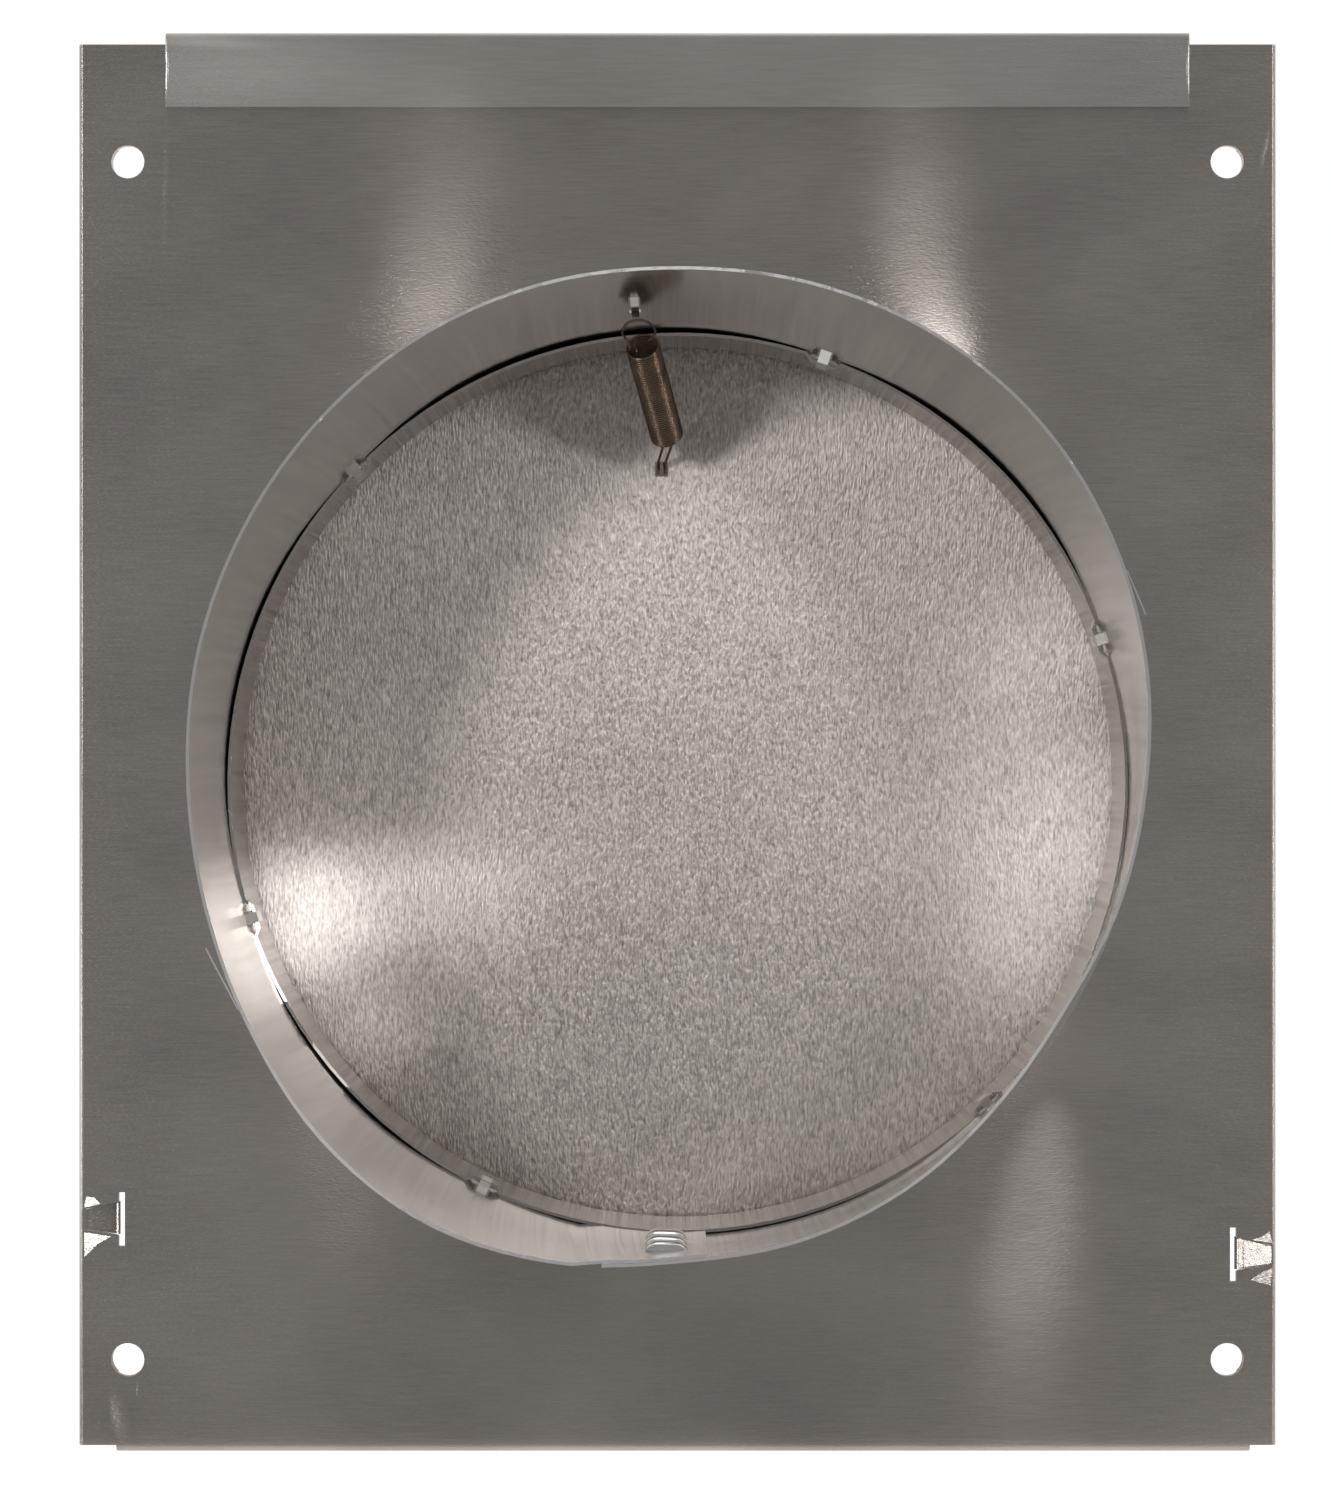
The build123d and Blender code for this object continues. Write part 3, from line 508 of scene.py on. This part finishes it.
def ductCollar():
    s = collarShape
    shape = bmesh.new()
    shape.from_mesh(nodes["duct_collar"].data)
    bmesh.ops.remove_doubles(shape, verts=shape.verts, dist=1e-6)
    for k in range(1, int(s["length"] / s["cut"])):
        everything = shape.verts[:] + shape.edges[:] + shape.faces[:]
        bmesh.ops.bisect_plane(shape, geom=everything, dist=1e-7,
                               plane_co=(0, -k * s["cut"] * mm, 0), plane_no=(0, 1, 0))
    for k in range(int(180 / s["turn"])):
        way = radians(k * s["turn"] + s["firstTurn"])
        everything = shape.verts[:] + shape.edges[:] + shape.faces[:]
        bmesh.ops.bisect_plane(shape, geom=everything, dist=1e-7, plane_co=(0, 0, 0),
                               plane_no=(-sin(way), 0, cos(way)))
    for v in shape.verts:
        angle, radius = atan2(v.co.z, v.co.x), hypot(v.co.x, v.co.z)
        radius += collarMove(degrees(angle), -v.co.y / mm) * mm
        v.co.x, v.co.z = cos(angle) * radius, sin(angle) * radius
    for hinge, tip, lift in s["barbs"]:
        rings = []
        for k in range(s["barbSteps"] + 1):
            t = k / s["barbSteps"]
            angle = hinge + (tip - hinge) * t
            out = (s["radius"] + s["barbGap"] + lift * t ** s["barbCurl"]
                   + collarMove(angle, s["length"]))
            root = s["length"] - s["barbHeight"] * (1 - s["barbTaper"] * t)
            ring = []
            for depth, thick in ((s["length"], 0), (root, 0), (root, s["barbThick"]),
                                 (s["length"], s["barbThick"])):
                radius = (out + thick) * mm
                ring.append(shape.verts.new((cos(radians(angle)) * radius, -depth * mm,
                                             sin(radians(angle)) * radius)))
            rings.append(ring)
        skin = [shape.faces.new(rings[0]), shape.faces.new(rings[-1])]
        for a, b in zip(rings, rings[1:]):
            skin += [shape.faces.new((a[k], a[(k + 1) % 4], b[(k + 1) % 4], b[k]))
                     for k in range(4)]
        bmesh.ops.recalc_face_normals(shape, faces=skin)
    collar = addPiece("duct_collar_sheet", shape, collarMetal, smooth=True)
    mesh = collar.data
    if "custom_normal" in mesh.attributes:  # the CAD's shading no longer fits the bent sheet
        mesh.attributes.remove(mesh.attributes["custom_normal"])
    mesh.set_sharp_from_angle(angle=radians(s["smoothUnder"]))
    rounded = collar.modifiers.new("cutEdges", "BEVEL")
    rounded.width = s["cutEdge"] * mm
    rounded.segments = 2
    rounded.limit_method = "ANGLE"
    rounded.angle_limit = radians(s["roundOver"])
    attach(collar, "vent_body")
    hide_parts("duct_collar")


ductCollar()
print("collar: bent out of round, with its lip locks")

clinches = {
    "angle": -91.5, "depths": (20.5, 27.3, 34.1),
    "base": 74.3,                       # from the duct's axis, where a pressed bar starts
    "half": (3.3, 1.4), "height": 1.55,  # half its length and width, and how far it stands in
    "endCurve": 4, "sideCurve": 2.5,    # higher is boxier
    "steps": 10,
}


def clinchBars():
    # the bars are pressed with a round punch, so they bulge where the CAD's are flat
    c = clinches
    shape = bmesh.new()
    for depth in c["depths"]:
        base = c["base"] + collarMove(c["angle"], depth)
        rows = []
        for i in range(-c["steps"], c["steps"] + 1):
            row = []
            for k in range(-c["steps"], c["steps"] + 1):
                u, w = sin(i * pi / 2 / c["steps"]), sin(k * pi / 2 / c["steps"])
                bulge = (1 - abs(u) ** c["endCurve"]) * (1 - abs(w) ** c["sideCurve"])
                radius = base - c["height"] * bulge ** 0.5
                angle = radians(c["angle"]) + u * c["half"][0] / base
                row.append(shape.verts.new((cos(angle) * radius * mm,
                                            (-depth + w * c["half"][1]) * mm,
                                            sin(angle) * radius * mm)))
            rows.append(row)
        for a, b in zip(rows, rows[1:]):
            for k in range(2 * c["steps"]):
                shape.faces.new((a[k], a[k + 1], b[k + 1], b[k]))
    bmesh.ops.recalc_face_normals(shape, faces=shape.faces)
    shape.faces.ensure_lookup_table()
    middle = shape.faces[len(shape.faces) // 2]
    if middle.normal.z < 0:             # the bars face the duct's axis
        bmesh.ops.reverse_faces(shape, faces=shape.faces)
    bars = addPiece("clinch_bars", shape, collarMetal, smooth=True)
    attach(bars, "vent_body")


clinchBars()
print("clinches: three bars over the seam")

hemLocks = {
    "gap": 0.04,                        # the creased skins lie this far over the plate
    "tabRoot": 100.06,                  # the plate's tabs lean into the hem from here
    "left": [                           # x, z corners; tilt to the right and up; slope of the tab
        ([(-100.6, -72.2), (-97.9, -71.6), (-98.9, -70.5), (-100.3, -70.3)], (-0.2, 0.28), 0),
        ([(-100.6, -76.4), (-96.1, -77.1), (-98.4, -78.4), (-99.7, -79.7), (-100.6, -80.6)],
         (-0.22, 0.34), 0),
        ([(-95.1, -71.4), (-94.85, -71.4), (-94.85, -76.7), (-95.1, -76.7)], (-0.2, 0.3), 0),
    ],
    "right": [
        ([(95.5, -77.6), (100.0, -78.65), (100.0, -81.75), (95.5, -82.7)], (-0.5, 0.3), 0.34),
        ([(100.0, -78.6), (100.75, -78.8), (100.75, -81.6), (100.0, -81.8)], (-0.5, 0.3), 0),
        ([(97.4, -77.7), (99.4, -77.0), (100.4, -76.2), (100.9, -78.2)], (-0.44, 0.3), 0),
        ([(97.2, -84.5), (99.4, -83.0), (100.9, -82.5), (100.6, -85.4)], (-0.42, 0.22), 0),
        ([(94.9, -77.5), (95.1, -77.5), (95.1, -82.8), (94.9, -82.8)], (-0.5, 0.3), 0),
    ],
}


def hemLock(name, faces):
    # thin creased skins over the plate's lock, shaded as the dents beside its tab tilt
    h = hemLocks
    shape = bmesh.new()
    tilts = []
    for corners, tilt, slope in faces:
        ring = []
        for x, z in corners:
            lean = max(0.0, h["tabRoot"] - abs(x)) * slope
            ring.append(shape.verts.new((x * mm, (lean - h["gap"]) * mm, z * mm)))
        face = shape.faces.new(ring)
        face.normal_update()
        if face.normal.y > 0:
            face.normal_flip()
        tilts += [Vector((tilt[0], -1, tilt[1])).normalized()] * len(ring)
    lock = addPiece(name, shape, creaseMetal)
    lock.data.normals_split_custom_set([tuple(t) for t in tilts])
    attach(lock, "vent_body")


hemLock("hem_lock_left", hemLocks["left"])
hemLock("hem_lock_right", hemLocks["right"])
print("hem locks: creases beside both tabs")


def wireTube(shape, points, radius, sides=8):
    # skins a line of points with rings that don't twist
    ways = [(b - a).normalized() for a, b in zip(points, points[1:])]
    ways = [ways[0]] + [(a + b).normalized() for a, b in zip(ways, ways[1:])] + [ways[-1]]
    side = ways[0].orthogonal().normalized()
    rings = []
    for point, way in zip(points, ways):
        side = (side - way * side.dot(way)).normalized()
        up = way.cross(side)
        turns = [2 * pi * k / sides for k in range(sides)]
        rings.append([shape.verts.new(point + (side * cos(t) + up * sin(t)) * radius)
                      for t in turns])
    for a, b in zip(rings, rings[1:]):
        for k in range(sides):
            shape.faces.new((a[k], a[(k + 1) % sides], b[(k + 1) % sides], b[k]))
    shape.faces.new(rings[0][::-1])
    shape.faces.new(rings[-1])


def wirePiece(name, runs, radius, material, sides=8, smoothUnder=50):
    shape = bmesh.new()
    for points in runs:
        wireTube(shape, points, radius, sides)
    bmesh.ops.recalc_face_normals(shape, faces=shape.faces)
    piece = addPiece(name, shape, material, smooth=True)
    piece.data.set_sharp_from_angle(angle=radians(smoothUnder))
    return piece


def roundedLine(corners, radius, steps=5):
    # corners of a bent wire, each eased with a small curve
    line = [corners[0]]
    for before, corner, after in zip(corners, corners[1:], corners[2:]):
        # under half of each side, so that two curves never meet
        reach = min(radius, (before - corner).length / 2.05, (after - corner).length / 2.05)
        start = corner + (before - corner).normalized() * reach
        end = corner + (after - corner).normalized() * reach
        for k in range(steps + 1):
            t = k / steps
            line.append(start * (1 - t) ** 2 + corner * (2 * t * (1 - t)) + end * t ** 2)
    return line + [corners[-1]]


spring = {
    "wire": 0.45, "coil": 2.6,          # wire's thickness, coil's radius to the wire's middle
    "turns": 43, "stepsPerTurn": 22,
    "tongue": (-6.8, -27.0, 74.15),     # behind the tongue in the collar's wall
    "foot": (-1.8, -5.5, 58.2),         # where the coil ends above the flap
    "slot": (-2.7, 0.8, 53.1),          # the flap's slot
    "loopGap": 28, "loopShort": 60,     # degrees that the upper loop stays open at its two ends
    "loopSteps": 24,
    "neck": 0.25,                       # between the loop and the coil
    "pair": 0.62,                       # half the space between the lower hook's two wires
    "joinBend": 0.5, "hookBend": 0.55,
}


def returnSpring():
    s = spring
    tongue, foot, slot = (Vector(s[k]) for k in ("tongue", "foot", "slot"))
    axis = (foot - tongue).normalized()
    side = (Vector((-1, 0, 0)) + axis * axis.x).normalized()
    up = axis.cross(side)
    ring = tongue + axis * s["coil"]    # middle of the upper loop, which lies along the coil's axis
    top = ring + axis * (s["coil"] + s["wire"] + s["neck"])
    steps = s["turns"] * s["stepsPerTurn"]
    coil = []
    for k in range(steps + 1):
        angle = 2 * pi * k / s["stepsPerTurn"]
        around = side * cos(angle) + up * sin(angle)
        coil.append(top + (foot - top) * (k / steps) + around * s["coil"])
    loop = []
    for k in range(s["loopSteps"] + 1):  # from its open end round behind the tongue
        sweep = 360 - s["loopGap"] - s["loopShort"]
        angle = radians(180 + s["loopGap"] + sweep * k / s["loopSteps"])
        loop.append(ring + (side * sin(angle) - axis * cos(angle)) * s["coil"])
    p = s["pair"]
    lower = [                           # the hook's bends
        coil[-1],
        foot + axis * 0.4 + side * 1.6,
        foot + axis * 1.3 + side * 0.6,
        slot + Vector((-p, -1.2, 0.9)),
        slot + Vector((-p, 1.4, -0.7)),
        slot + Vector((-p + 0.2, 1.7, 1.6)),
        slot + Vector((p - 0.2, 1.7, 1.6)),
        slot + Vector((p, 1.4, -0.7)),
        slot + Vector((p, -1.2, 0.9)),
        foot + axis * 1.9 + Vector((p, 0, 0)),
    ]
    join = [loop[-1], top - axis * 0.75 + side * 1.9 + up * -0.9,
            top - axis * 0.2 + side * 2.4 + up * -0.7, coil[0]]
    line = (loop[:-1] + roundedLine(join, s["joinBend"]) + coil[1:-1]
            + roundedLine(lower, s["hookBend"]))
    piece = wirePiece("return_spring_wire", [[q * mm for q in line]], s["wire"] / 2 * mm,
                      springMetal)
    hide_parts("return_spring")
    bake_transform(piece)


returnSpring()
print("spring: close coil with two hooks")

birdMesh = {
    "pitch": 12.7, "wire": 0.85,
    "columns": 12, "rows": 9,
    "middle": 63.75,                    # out from the wall
    "low": -112.65, "high": -111.45,    # its underside and its top
    "overhang": 0.6,                    # of the wires past the last crossings
}


def birdScreen():
    m = birdMesh
    halfX, halfY = m["columns"] * m["pitch"] / 2, m["rows"] * m["pitch"] / 2
    reachX, reachY = halfX + m["overhang"], halfY + m["overhang"]
    lowZ, highZ = m["low"] + m["wire"] / 2, m["high"] - m["wire"] / 2
    runs = []
    for k in range(m["rows"] + 1):
        y = m["middle"] - halfY + k * m["pitch"]
        runs.append([Vector((x, y, lowZ)) * mm for x in (-reachX, -reachX / 3, reachX / 3, reachX)])
    for k in range(m["columns"] + 1):
        x = -halfX + k * m["pitch"]
        runs.append([Vector((x, m["middle"] + y, highZ)) * mm
                     for y in (-reachY, -reachY / 3, reachY / 3, reachY)])
    piece = wirePiece("bird_screen_mesh", runs, m["wire"] / 2 * mm, meshMetal, sides=10)
    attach(piece, "vent_body")
    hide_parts("bird_screen")


birdScreen()
print("bird screen: welded wires")

bpy.context.scene.view_settings.view_transform = "Standard"
bpy.context.view_layer.update()
